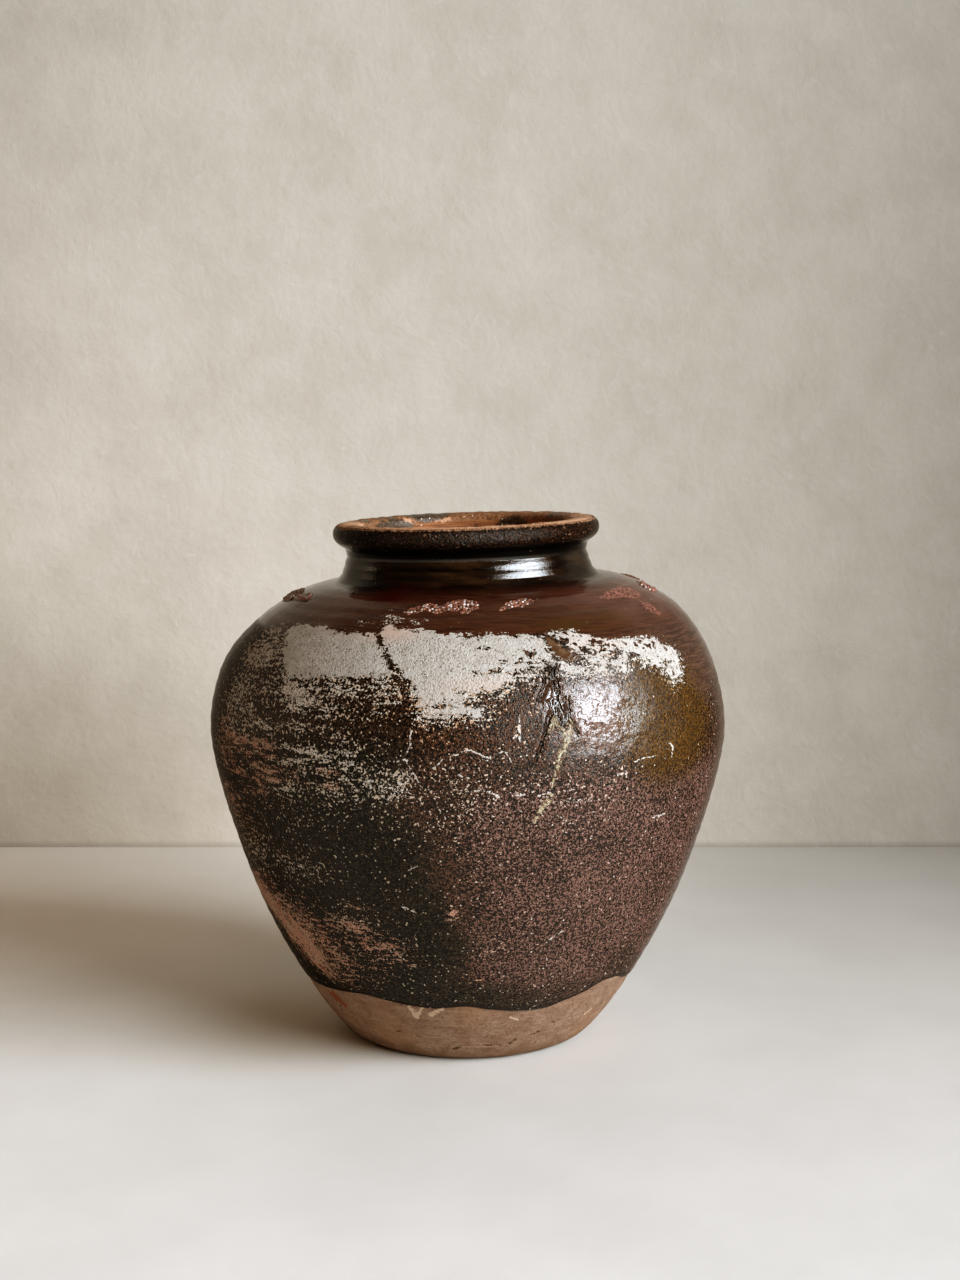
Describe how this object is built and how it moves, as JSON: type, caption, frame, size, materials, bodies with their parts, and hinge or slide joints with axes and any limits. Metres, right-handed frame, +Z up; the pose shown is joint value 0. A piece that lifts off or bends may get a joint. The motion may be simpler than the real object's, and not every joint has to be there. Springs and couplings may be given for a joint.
{
  "type": "martaban storage jar",
  "caption": "Wide-shouldered stoneware storage jar on a narrow foot, with a short neck, thick rolled rim, glossy brown glaze over bare clay and the broken-off roots of its lugs.",
  "frame": {"origin": "centre of the foot's underside, on the plane it stands on", "axes": "+Z up along the body's axis; the studied front faces -Y; the mouth leans 1.9 degrees, its highest side is 10 degrees from +X towards +Y, and it sits 0.4 mm off the axis towards +X"},
  "size_m": [0.3, 0.3, 0.3026],
  "materials": {
    "bare_clay": "unglazed fired clay, matt, fine grit",
    "brown_glaze": "dark brown glass, glossy on the shoulder, pitted and satin below, with a worn pale lime crust on the shoulder",
    "broken_clay": "rough broken reddish clay with glints of glass"
  },
  "bodies": {
    "root": {"base_slab": "bare_clay", "lower_wall": "bare_clay", "shoulder_wall": "bare_clay", "neck_collar": "bare_clay", "rim_lip": "bare_clay", "glaze_coat": "brown_glaze", "lug_roots_front": "broken_clay", "lug_roots_right": "broken_clay", "lug_roots_back": "broken_clay", "lug_roots_left": "broken_clay"}
  },
  "joints": []
}
